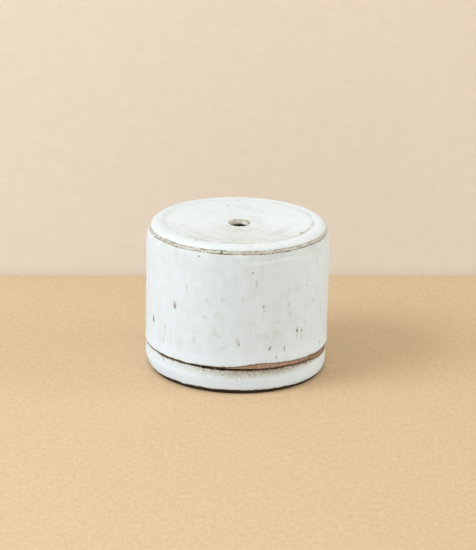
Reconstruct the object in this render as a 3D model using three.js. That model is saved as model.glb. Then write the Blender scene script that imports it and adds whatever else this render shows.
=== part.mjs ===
import * as THREE from "three";

// An incense box, thrown in stoneware and glazed white, in two loose pieces: a shallow dish that the
// incense burns in, and a tall cover with a smoke hole, which stands on the dish's seat round its flange.
// Both were thrown as one closed form and cut apart, so rim and seat follow the same slanting cut.
// Millimetres, +Z up, with the origin on the ground in the middle of the dish's foot.

// Overall sizes
const boxRadius = 40.2; // the cover's wall, at its widest
const coverHeight = 54.7; // from the cover's rim to the ring round its top disc
const dishHeight = 11; // from the ground to the dish's seat, on the axis
const seamSlope = THREE.MathUtils.degToRad(0.7); // the seam was cut by hand, and drops towards +X

// Cover: wall and shoulder
const wallThickness = 4.5;
const waistDepth = 0.25; // how far the wall draws in, half way up
const shoulderHeight = 6.7; // the part of the wall that curves in below the arris
const shoulderRun = 1.3; // how far it curves in
const arrisHeight = 1.1; // the narrow upright band between the shoulder and the roll
const rimRounding = 1;

// Cover: top
const rollRun = 6.4; // width of the soft roll round the top disc
const rollDrop = 1.7; // from the disc's edge down to the arris
const rollCrown = 1; // how strongly the roll swells above the disc
const discSag = 1; // how far the disc sinks towards the hole
const topThickness = 4.2; // at the smoke hole
const holeRadius = 3.4;
const holeLip = 1.5; // rounding of the hole's upper edge
const ceilingCorner = 9; // rounding where the inner wall meets the ceiling

// Dish: foot, belly and seat
const coverOverhang = 0.9; // how far the cover's wall stands out past the dish's seat
const bellySwell = 0.35; // how far the dish's side swells out past its seat
const bellyHeight = 6.4;
const heelHeight = 1.3; // the soft turn from the side in to the foot
const heelRun = 1.1;
const footInset = 1.9; // from the seat's edge in to the foot
const footRingWidth = 5.4;
const footRecess = 1.3;

// Dish: flange and well
const flangeClearance = 0.7; // between the flange and the cover's inner wall
const flangeThickness = 3.2;
const flangeHeight = 3.6; // above the seat
const floorThickness = 3.2;
const wellCorner = 5;

// The marks that fingers leave inside, one spiral across the floor of each piece and up its wall
const fingerPitch = 8;
const fingerDepth = 0.22;
const stepsPerPitch = 4;

const softEdge = 0.9; // the usual rounding of a thrown edge
const seatGap = 0.3; // what glaze and grit leave between rim and seat
const turns = 56; // flats round each piece

const glazeWhite = 0xe6e9e4;
const coverRoughness = 0.42;
const dishRoughness = 0.5;

const wallInside = boxRadius - wallThickness;
const arrisRadius = boxRadius - shoulderRun;
const arrisTop = coverHeight - rollDrop;
const arrisFoot = arrisTop - arrisHeight;
const shoulderFoot = arrisFoot - shoulderHeight;
const discRadius = arrisRadius - rollRun;
const discBottom = coverHeight - discSag;
const ceilingHeight = discBottom - topThickness;

const seatRadius = boxRadius - coverOverhang;
const footRadius = seatRadius - footInset;
const recessRadius = footRadius - footRingWidth;
const flangeRadius = wallInside - flangeClearance;
const flangeTop = dishHeight + flangeHeight;
const wellRadius = flangeRadius - flangeThickness;
const floorHeight = footRecess + floorThickness;

// A point of an outline, and how far each of its two sides is cut back for a soft round corner.
const at = (radius, height, rounding = 0) => ({ point: new THREE.Vector2(radius, height), rounding });

// The same for every point of a curve.
const along = (curve, steps) => curve.getPoints(steps).map((p) => at(p.x, p.y));

// A straight stretch with enough points on it to carry the finger marks.
function fingered(start, end) {
  const steps = Math.ceil((stepsPerPitch * start.distanceTo(end)) / fingerPitch);
  return along(new THREE.LineCurve(start, end), steps);
}

// Rounds the corner between two neighbours, by no more than half of the shorter side.
function softCorner(before, corner, after) {
  const toBefore = before.clone().sub(corner.point);
  const toAfter = after.clone().sub(corner.point);
  const cut = Math.min(corner.rounding, toBefore.length() / 2, toAfter.length() / 2);
  const start = corner.point.clone().add(toBefore.setLength(cut));
  const end = corner.point.clone().add(toAfter.setLength(cut));
  const steps = Math.ceil(2 * Math.sqrt(cut));
  return new THREE.QuadraticBezierCurve(start, corner.point, end).getPoints(steps);
}

// Turns an outline's corners into its points. In a closed outline the last corner is beside the first.
function outline(corners, closed) {
  const count = corners.length;
  const points = corners.flatMap((corner, i) => {
    if (!corner.rounding) return [corner.point];
    const before = corners[(i + count - 1) % count].point;
    const after = corners[(i + 1) % count].point;
    return softCorner(before, corner, after);
  });
  return closed ? [...points, points[0].clone()] : points;
}

// Revolves an outline about Z, then moves each point by change(radius, angle, height).
function revolve(points, change) {
  const geometry = new THREE.LatheGeometry(points, turns);
  geometry.rotateX(Math.PI / 2);
  const place = geometry.getAttribute("position");
  for (let i = 0; i < place.count; i++) {
    const angle = Math.atan2(place.getY(i), place.getX(i));
    const radius = Math.hypot(place.getX(i), place.getY(i));
    const [newRadius, newHeight] = change(radius, angle, place.getZ(i));
    place.setXYZ(i, newRadius * Math.cos(angle), newRadius * Math.sin(angle), newHeight);
  }
  geometry.computeVertexNormals();
  return geometry;
}

// How far the spiral stands up from the wall or floor, at this angle and this way along the outline.
const fingerMark = (angle, way) => fingerDepth * Math.sin((2 * Math.PI * way) / fingerPitch - angle);

// How far the slanting cut lies above or below its middle, at this place round the box.
const seamRise = (radius, angle) => -Math.tan(seamSlope) * radius * Math.cos(angle);

// Fades the marks in over half a pitch after the start and out again before the end.
function fade(way, start, end) {
  const { smoothstep } = THREE.MathUtils;
  return smoothstep(way, start, start + fingerPitch / 2) * (1 - smoothstep(way, end - fingerPitch / 2, end));
}

// The cover stands on its rim at height 0. Its outline runs up outside, over the top and down inside.
function coverOutline() {
  const wall = new THREE.SplineCurve([
    new THREE.Vector2(boxRadius, 2 * rimRounding),
    new THREE.Vector2(boxRadius - waistDepth, arrisFoot / 2),
    new THREE.Vector2(boxRadius, shoulderFoot - softEdge),
  ]);
  const shoulder = new THREE.QuadraticBezierCurve(
    new THREE.Vector2(boxRadius, shoulderFoot),
    new THREE.Vector2(boxRadius, arrisFoot - shoulderHeight / 3),
    new THREE.Vector2(arrisRadius, arrisFoot),
  );
  const roll = new THREE.CubicBezierCurve(
    new THREE.Vector2(arrisRadius, arrisTop),
    new THREE.Vector2(arrisRadius - rollRun / 6, coverHeight),
    new THREE.Vector2(arrisRadius - rollRun / 2, coverHeight + rollCrown),
    new THREE.Vector2(discRadius, coverHeight),
  );
  const disc = new THREE.QuadraticBezierCurve(
    new THREE.Vector2(discRadius - softEdge, coverHeight),
    new THREE.Vector2(discRadius / 2, discBottom),
    new THREE.Vector2(holeRadius + 2 * holeLip, discBottom),
  );
  const ceilingEdge = new THREE.Vector2(wallInside - ceilingCorner, ceilingHeight);
  const wallTop = new THREE.Vector2(wallInside, ceilingHeight - ceilingCorner);
  const ceilingBend = new THREE.QuadraticBezierCurve(
    ceilingEdge,
    new THREE.Vector2(wallInside, ceilingHeight),
    wallTop,
  );
  return outline(
    [
      at(wallInside, 0, softEdge),
      at(boxRadius, 0, rimRounding),
      ...along(wall, 6),
      ...along(shoulder, 4),
      ...along(roll, 7),
      ...along(disc, 5),
      at(holeRadius, discBottom, holeLip),
      at(holeRadius, ceilingHeight, softEdge),
      ...fingered(new THREE.Vector2(holeRadius + 2 * softEdge, ceilingHeight), ceilingEdge),
      ...along(ceilingBend, 6).slice(1, -1),
      ...fingered(wallTop, new THREE.Vector2(wallInside, 2 * softEdge)),
    ],
    true,
  );
}

// The dish's outline runs from the foot's recess up the outside, over the flange and down into the well.
function dishOutline() {
  const side = new THREE.SplineCurve([
    new THREE.Vector2(footRadius, 0),
    new THREE.Vector2(footRadius + heelRun, heelHeight),
    new THREE.Vector2(seatRadius, bellyHeight / 2),
    new THREE.Vector2(seatRadius + bellySwell, bellyHeight),
    new THREE.Vector2(seatRadius, dishHeight - softEdge),
  ]);
  const floorEdge = new THREE.Vector2(wellRadius - wellCorner, floorHeight);
  return outline(
    [
      at(0, footRecess),
      at(recessRadius - footRecess / 2, footRecess, softEdge),
      at(recessRadius, 0, softEdge),
      ...along(side, 10),
      at(seatRadius, dishHeight, softEdge),
      at(flangeRadius, dishHeight, softEdge / 2),
      at(flangeRadius, flangeTop, flangeThickness / 2),
      at(wellRadius, flangeTop, flangeThickness / 2),
      at(wellRadius, floorHeight, wellCorner),
      ...fingered(floorEdge, new THREE.Vector2(0, floorHeight)),
    ],
    false,
  );
}

// The cover was thrown upside down, so its spiral runs across the ceiling and down the wall.
function coverGeometry() {
  const slack = fingerDepth / 2;
  const change = (radius, angle, height) => {
    const slant = (1 - THREE.MathUtils.smoothstep(height, 0, shoulderFoot)) * seamRise(radius, angle);
    const onWall = Math.abs(radius - wallInside) < slack && height < ceilingHeight - ceilingCorner + slack;
    if (onWall) {
      const mark = fade(height, rimRounding, ceilingHeight - ceilingCorner) * fingerMark(angle, height);
      return [radius - mark, height + slant];
    }
    const onCeiling = Math.abs(height - ceilingHeight) < slack;
    const rise = onCeiling ? fade(radius, holeRadius, wallInside - ceilingCorner) * fingerMark(angle, radius) : 0;
    return [radius, height + slant + rise];
  };
  return revolve(coverOutline(), change);
}

// The dish's floor is level and carries the spiral. Its seat and flange follow the slanting cut.
function dishGeometry() {
  const slack = fingerDepth / 2;
  const change = (radius, angle, height) => {
    if (Math.abs(height - floorHeight) < slack && radius < wellRadius) {
      return [radius, height + fade(radius, 0, wellRadius - wellCorner) * fingerMark(angle, radius)];
    }
    const share = THREE.MathUtils.smoothstep(height, floorHeight, dishHeight - softEdge);
    return [radius, height + share * seamRise(radius, angle)];
  };
  return revolve(dishOutline(), change);
}

function piece(name, geometry, roughness) {
  const glaze = new THREE.MeshStandardMaterial({ color: glazeWhite, roughness, metalness: 0 });
  const mesh = new THREE.Mesh(geometry, glaze);
  mesh.name = name;
  return mesh;
}

const incenseBox = new THREE.Group();
incenseBox.name = "incense_box";

const dish = piece("dish", dishGeometry(), dishRoughness);
incenseBox.add(dish);

const cover = piece("cover", coverGeometry(), coverRoughness);
cover.position.z = dishHeight + seatGap;
incenseBox.add(cover);

export default incenseBox;
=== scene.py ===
import math

import bpy
import numpy as np
from mathutils import Matrix, Vector


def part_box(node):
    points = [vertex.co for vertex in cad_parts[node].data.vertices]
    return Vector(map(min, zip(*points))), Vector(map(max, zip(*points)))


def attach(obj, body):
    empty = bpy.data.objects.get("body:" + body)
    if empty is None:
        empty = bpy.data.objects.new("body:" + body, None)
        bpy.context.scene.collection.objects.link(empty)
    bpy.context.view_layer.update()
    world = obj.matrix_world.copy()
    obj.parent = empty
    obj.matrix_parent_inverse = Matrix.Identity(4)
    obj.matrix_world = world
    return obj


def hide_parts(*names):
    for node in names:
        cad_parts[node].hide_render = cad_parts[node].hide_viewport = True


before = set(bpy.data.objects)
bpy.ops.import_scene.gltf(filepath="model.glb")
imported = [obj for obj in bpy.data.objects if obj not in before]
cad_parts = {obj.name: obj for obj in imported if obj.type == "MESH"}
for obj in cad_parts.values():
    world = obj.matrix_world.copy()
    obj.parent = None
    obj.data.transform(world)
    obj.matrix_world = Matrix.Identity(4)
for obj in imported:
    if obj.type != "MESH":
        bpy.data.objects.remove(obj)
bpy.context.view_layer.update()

mm = 0.001  # sizes below are in millimetres, Blender's objects in metres
pointsRound = 576  # round each piece
angles = np.linspace(-math.pi, math.pi, pointsRound, endpoint=False)  # 0 faces -Y, a quarter turn on is +X
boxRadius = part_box("cover")[1].x / mm


# The camera, at the photograph's angle

view = {
    "place": (0.28, -1000, 374.6),
    "pitch": 18.45,  # degrees down from level
    "roll": 1.19,
    "sensor": 36,  # along the frame's long side, which is upright
    "focalPixels": 2397.4,
    "frameHeight": 550,  # pixels
}


def addCamera():
    camera = bpy.data.objects.new("camera", bpy.data.cameras.new("camera"))
    bpy.context.scene.collection.objects.link(camera)
    lens = camera.data
    lens.sensor_width = view["sensor"]
    lens.lens = view["focalPixels"] / view["frameHeight"] * view["sensor"]
    lens.clip_end = 20
    pitch = Matrix.Rotation(math.radians(90 - view["pitch"]), 4, "X")
    roll = Matrix.Rotation(math.radians(view["roll"]), 4, "Z")
    camera.matrix_world = Matrix.Translation(Vector(view["place"]) * mm) @ pitch @ roll
    bpy.context.scene.camera = camera


addCamera()
print("camera: set")


# Outlines: stretches of (radius, height) points, read by the way along them

def smooth(value, low, high):
    t = np.clip((value - low) / (high - low), 0, 1)
    return t * t * (3 - 2 * t)


def bump(value, middle, width):
    return np.exp(-(((value - middle) / width) ** 2))


def line(start, end, step=0.4):
    return np.linspace(start, end, max(2, int(math.dist(start, end) / step)))


def curve(*pulls, count=30):
    t = np.linspace(0, 1, count)[:, None]
    last = len(pulls) - 1
    return sum(math.comb(last, i) * t**i * (1 - t)**(last - i) * np.array(p) for i, p in enumerate(pulls))


def through(*points, count):
    p = np.array([points[0], *points, points[-1]], float)
    t = np.linspace(0, 1, count, endpoint=False)[:, None]
    parts = [
        b + (c - a) * t / 2 + (a - 2.5 * b + 2 * c - d / 2) * t**2 + (1.5 * (b - c) + (d - a) / 2) * t**3
        for a, b, c, d in zip(p, p[1:], p[2:], p[3:])
    ]
    return np.vstack([*parts, p[-2:-1]])


def readOutline(*stretches, step=0.1):
    points = np.vstack(stretches)
    points = points[np.r_[True, np.linalg.norm(np.diff(points, axis=0), axis=1) > 1e-6]]
    way = np.r_[0, np.cumsum(np.linalg.norm(np.diff(points, axis=0), axis=1))]
    even = np.linspace(0, way[-1], int(way[-1] / step))
    place = np.c_[np.interp(even, way, points[:, 0]), np.interp(even, way, points[:, 1])]
    along = np.gradient(place, axis=0)
    along /= np.linalg.norm(along, axis=1)[:, None]
    return {"way": even, "place": place, "out": np.c_[along[:, 1], -along[:, 0]]}


# The way along an outline to the place nearest to this point
def wayTo(outline, *point):
    return outline["way"][np.argmin(np.linalg.norm(outline["place"] - np.array(point), axis=1))]


# Rows along an outline, from marks of (way, spacing between rows there)
def spreadRows(marks):
    at, spacing = zip(*marks)
    ways = [at[0]]
    while ways[-1] < at[-1]:
        ways.append(ways[-1] + np.interp(ways[-1], at, spacing))
    return np.array(ways[:-1] + [at[-1]])


# Moves the rows near a mean way so that they follow an edge that wanders round the piece
def followEdge(rows, edge, mean, reach):
    near = np.clip(1 - np.maximum(np.abs(rows - mean) - 1, 0) / reach, 0, 1)
    return rows + (edge - mean) * near


# Smooth random relief from -1 to 1, in patches this long along the outline and this wide round the box
def unevenness(way, length, width, seed):
    columns = max(3, round(2 * math.pi * boxRadius / width))
    lattice = np.random.default_rng(seed).uniform(-1, 1, (int(way.max() / length) + 3, columns))
    u = np.clip(way, 0, None) / length
    v = np.broadcast_to((angles / (2 * math.pi) + 0.5) * columns, way.shape)
    i, j = u.astype(int), v.astype(int)
    a, b = smooth(u - i, 0, 1), smooth(v - j, 0, 1)
    near = lattice[i, j % columns] * (1 - b) + lattice[i, (j + 1) % columns] * b
    far = lattice[i + 1, j % columns] * (1 - b) + lattice[i + 1, (j + 1) % columns] * b
    return near * (1 - a) + far * a


def wander(width, seed):
    return unevenness(np.zeros((1, pointsRound)), 1, width, seed)[0]


# How an edge wanders round the piece, from waves of (width, depth)
def ragged(seed, *waves):
    return sum(depth * wander(width, seed + i) for i, (width, depth) in enumerate(waves))


# Relief from waves of (length along the outline, width round the box, depth)
def uneven(way, seed, *waves):
    return sum(
        depth * unevenness(way, length, width, seed + i) for i, (length, width, depth) in enumerate(waves)
    )


# A width that changes round the piece, from pairs of (degrees, millimetres)
def roundTable(pairs, soften=6):
    at, width = zip(*pairs)
    values = np.interp(np.degrees(angles), at, width)
    half = int(soften / 360 * pointsRound)
    window = np.hanning(2 * half + 3)[1:-1]
    padded = np.concatenate([values[-half:], values, values[:half]])
    return np.convolve(padded, window / window.sum(), "valid")


def loft(name, radius, height, shift, marks, closed):
    rows, columns = radius.shape
    x = radius * np.sin(angles) + shift
    y = -radius * np.cos(angles)
    points = np.stack([x, y, height], axis=-1).reshape(-1, 3)
    grid = np.arange(rows * columns).reshape(rows, columns)
    below = grid if closed else grid[:-1]
    above = np.roll(grid, -1, axis=0) if closed else grid[1:]
    quads = np.stack([below, np.roll(below, -1, 1), np.roll(above, -1, 1), above], axis=-1).reshape(-1, 4)
    faces = quads.tolist()
    if not closed:  # the outline starts and ends at the axis, where the rows close in fans
        for row, turn in ((grid[0], -1), (grid[-1], 1)):
            points = np.vstack([points, points[row].mean(axis=0)])
            pairs = zip(row, np.roll(row, -1))
            faces += [[int(a), int(b), len(points) - 1][::turn] for a, b in pairs]
    mesh = bpy.data.meshes.new(name)
    mesh.from_pydata((points * mm).tolist(), [], faces)
    mesh.polygons.foreach_set("use_smooth", [True] * len(mesh.polygons))
    for mark, values in marks.items():
        values = np.asarray(values, np.float32).reshape(-1)
        values = np.r_[values, np.zeros(len(points) - len(values), np.float32)]
        if not closed:
            values[-2], values[-1] = values[0], values[rows * columns - 1]
        mesh.attributes.new(mark, "FLOAT", "POINT").data.foreach_set("value", values)
    mesh.update()
    piece = bpy.data.objects.new(name, mesh)
    bpy.context.scene.collection.objects.link(piece)
    return piece


# Places of an outline at these ways, moved out from it
def placeAt(outline, way, lift):
    parts = [*outline["place"].T, *outline["out"].T]
    radius, height, outRadius, outHeight = (np.interp(way, outline["way"], part) for part in parts)
    return radius + lift * outRadius, height + lift * outHeight


# How far the slanting cut between the pieces lies above its middle
def seamRise(radius):
    return -math.tan(math.radians(seam["slope"])) * radius * np.sin(angles)


# The marks that fingers leave in one spiral from the middle of a piece to its edge
def fingerMarks(way, start, end):
    fade = smooth(way, start, start + fingers["pitch"] / 2) * smooth(way, end, end - fingers["pitch"] / 2)
    return fingers["depth"] * fade * np.sin(2 * math.pi * way / fingers["pitch"] - angles)


seam = {
    "slope": 0.7,  # degrees, down towards +X
    "rim": 11.5,  # height of the cover's rim on the axis
    "seat": 11.2,
    "open": (  # how far the two edges draw back from each other, by degrees round the box
        (-180, 0.2), (-120, 0), (-66, -0.12), (-50, -0.14), (-42, -0.12), (-35, -0.06), (-28, 0.2),
        (-20, 0.34), (-10, 0.34), (0, 0.25), (14, 0.15), (26, 0.06), (36, 0.08), (55, 0.15), (90, 0.2),
        (180, 0.2),
    ),
    "toastAndShade": (  # how dark the clay burnt along it, with painted shade in the gap between the pieces
        (-180, 0.6), (-110, 0.4), (-60, 0.35), (-45, 0.7), (-30, 1), (-5, 1), (15, 0.85), (60, 0.7),
        (90, 0.6), (180, 0.6),
    ),
    "jags": ((1.8, 0.1), (0.9, 0.14)),  # width and depth of the waves in the cut
}
fingers = {"pitch": 8, "depth": 0.22}
glazeCoat = {
    "inset": 0.3,  # how far the bare clay lies inside the outline
    "thickness": 0.27,
    "feather": 0.3,  # width of the glaze's rounded edge
    "bead": 0.05,
}


# How far an edge of the seam draws back, with the jags of the cut
def openSeam(seed):
    return roundTable(seam["open"]) + ragged(seed, *seam["jags"])


# Glaze over clay: how far the surface stands out, by the distance from the glaze's edge
def glazeLift(edge):
    coat = smooth(edge, -0.02, glazeCoat["feather"])
    return glazeCoat["thickness"] * coat + glazeCoat["bead"] * bump(edge, 0.5, 0.35) - glazeCoat["inset"]


# Cover

cover = {
    "wall": 40.2,  # radius
    "inside": 35.7,
    "rimRounding": 0.6,
    "insideRounding": 0.9,
    "waist": (0.12, 36),  # how deep, and its height
    "shoulderFoot": 56.5,
    "shoulderPull": 60.4,  # height up to which the shoulder's curve leaves the wall
    "arrisLow": (38.95, 63.05),
    "arrisHigh": (38.45, 64.15),
    "roll": ((37.7, 65.8), (35.6, 66.85)),  # what the curve of the rolled edge is pulled by
    "discEdge": (32.5, 66.0),
    "discMiddle": 64.95,
    "discPulls": (15, 6.4),  # radii where the disc's curve lies at its middle's height
    "hole": 3.3,
    "holeShift": 0.35,  # the smoke hole was cut a little off centre
    "lip": 1.8,
    "throat": 1.75,  # depth of the hole's narrow part, which opens wider below
    "ceiling": 60.8,
    "ceilingCorner": 9,
    "bareInside": 7,  # height of the bare clay inside the rim
    "bareRim": (  # height of the bare clay above the rim, by degrees round the box
        (-180, 0.8), (-120, 0.1), (-60, -0.1), (-36, -0.1), (-22, 0.1), (-9, 0.4), (0, 0.9), (6, 1.5),
        (13, 2.0), (26, 2.0), (41, 1.55), (56, 1.4), (75, 1.4), (90, 1.3), (130, 0.8), (180, 0.8),
    ),
    "ironLow": (  # how strongly iron shows along the lower line of the arris
        (-180, 0.6), (-75, 0.75), (-60, 0.9), (-48, 0.95), (-35, 0.85), (-20, 0.85), (-10, 1.0),
        (0, 1.1), (20, 1.05), (40, 1.0), (60, 0.95), (90, 0.8), (180, 0.6),
    ),
    "ironHigh": (
        (-180, 0.4), (-90, 0.55), (-55, 0.7), (-40, 0.75), (-22, 0.7), (-10, 0.6), (5, 0.55), (60, 0.5),
        (90, 0.35), (180, 0.35),
    ),
    "ironBetween": (
        (-180, 0.25), (-90, 0.3), (-62, 0.42), (-50, 0.4), (-38, 0.3), (-20, 0.28), (-13, 0.28),
        (-5, 0.34), (10, 0.34), (30, 0.3), (60, 0.34), (90, 0.3), (180, 0.25),
    ),
    "edgeIron": (  # in the last line of glaze above the bare rim
        (-180, 0.3), (-60, 0), (-12, 0), (-2, 0.8), (8, 1), (60, 1), (90, 0.8), (180, 0.3),
    ),
    "toastedRim": (
        (-180, 0.4), (-30, 0.3), (0, 0.05), (30, 0.05), (44, 0.25), (60, 0.5), (90, 0.6), (180, 0.4),
    ),
    "ironRing": (  # along the ring on top
        (-180, 0.1), (-120, 0.1), (-90, 0.08), (-62, 0.08), (-50, 0.14), (-40, 0.5), (-30, 1.0),
        (-20, 1.0), (0, 1.1), (12, 1.0), (40, 0.55), (58, 0.4), (68, 0.2), (85, 0.22), (110, 0.15),
        (180, 0.12),
    ),
    "ringWidth": (
        (-180, 0.5), (-130, 0.7), (-75, 0.8), (-50, 0.5), (-35, 0.34), (50, 0.34), (90, 0.6),
        (180, 0.5),
    ),
    "ringOut": (  # how far the ring on top lies outside its mean radius
        (-180, -0.4), (-147, -0.4), (-120, -0.4), (-89, -0.1), (-70, -0.4), (-56, -0.5), (-29, 0.1),
        (-10, 0.0), (2, 0.0), (20, 0.1), (57, -0.3), (82, 0.4), (116, 0.4), (150, 0.1), (180, -0.4),
    ),
    "runOff": (  # how far the white thinned where it ran off below the arris
        (-180, 0.9), (-40, 1.1), (-10, 1.0), (10, 1.2), (25, 1.6), (50, 1.3), (70, 0.9), (90, 0.8),
        (180, 0.9),
    ),
    "outOfRound": 0.04,
    "sag": {"turn": -75, "width": 45, "drop": 0.5},  # where the arris sank a little in the firing
    "drawnIn": {"turn": -85, "width": 45, "depth": 0.15},  # and the shoulder drew in
    "ringRadius": 32.4,
    "ringDepth": 0.16,
    "ringHaze": (  # the thin glaze spread out beside the ring
        (-180, 0.08), (-130, 0.1), (-90, 0.08), (-60, 0.1), (-42, 0.14), (-25, 0.08), (20, 0.06),
        (60, 0.14), (95, 0.12), (180, 0.08),
    ),
    "throwing": (  # heights of the line that the last pull left, and how far the glaze stands out there, which also sets the painted highlight along it
        ((-180, 58), (-20, 58.5), (12, 59.0), (31, 59.9), (65, 57.8), (180, 58)),
        ((-180, 0), (0, 0), (8, 0.04), (12, 0.12), (36, 0.12), (44, 0.03), (60, 0), (180, 0)),
    ),
    # waves of (width, depth) in the edges and lines
    "rimWaves": ((5, 0.16), (1.6, 0.1), (0.8, 0.06)),
    "ringWaves": ((4, 0.12),),
    "insideWaves": ((14, 0.9), (3, 0.25)),
    "lowWaves": ((6, 0.12), (1.2, 0.07)),
    "highWaves": ((7, 0.18), (1.5, 0.1)),
    "patchWaves": ((4.5, 0.16), (1.5, 0.2)),
    "runWaves": ((1.4, 0.25), (5, 0.2)),
    # waves of (length, width, depth) in the surface
    "wallRelief": ((3.2, 90, 0.07), (9, 22, 0.05)),
    "fineRelief": ((5, 2.5, 0.03),),
    "arrisRelief": ((0.9, 1.2, 0.12),),
    "throatRelief": ((0.9, 12, 0.04), (1.1, 7, 0.03)),
    "discRelief": ((4.5, 60, 0.07),),
}


def coverOutline():
    c = cover
    rim, wall, inside, foot = seam["rim"], c["wall"], c["inside"], c["shoulderFoot"]
    low, high, edge = c["arrisLow"], c["arrisHigh"], c["discEdge"]
    hole, disc, ceiling, corner = c["hole"], c["discMiddle"], c["ceiling"], c["ceilingCorner"]
    outer, inner, throat = c["rimRounding"], c["insideRounding"], disc - c["throat"]
    waist, waistHeight = c["waist"]
    lowEnd, highEnd = (low[0] + 0.1, low[1] - 0.25), (high[0] - 0.12, high[1] + 0.14)
    return readOutline(
        line((inside + inner, rim), (wall - outer, rim)),
        curve((wall - outer, rim), (wall, rim), (wall, rim + outer), count=16),
        through((wall, rim + outer), (wall - waist, waistHeight), (wall, foot - 1.5), count=60),
        curve((wall, foot - 1), (wall, c["shoulderPull"]), lowEnd, count=60),
        curve(lowEnd, low, (low[0] - 0.03, low[1] + 0.2), count=8),
        curve((high[0] + 0.03, high[1] - 0.15), high, highEnd, count=8),
        curve(highEnd, *c["roll"], edge, count=60),
        curve((edge[0] - 1, edge[1]), *[(pull, disc) for pull in c["discPulls"]], count=60),
        curve((hole + c["lip"], disc), (hole + 0.5, disc - 0.05), (hole, throat + 0.3), count=24),
        curve((hole, throat + 0.3), (hole, throat), (hole + 0.5, throat - 0.2), count=10),
        curve((hole + 0.5, throat - 0.2), (hole + 2, ceiling + 1.4), (hole + 2.6, ceiling),
              (hole + 3.8, ceiling), count=30),
        curve((inside - corner, ceiling), (inside, ceiling), (inside, ceiling - corner), count=50),
        curve((inside, rim + inner), (inside, rim), (inside + inner, rim), count=16),
    )


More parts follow.
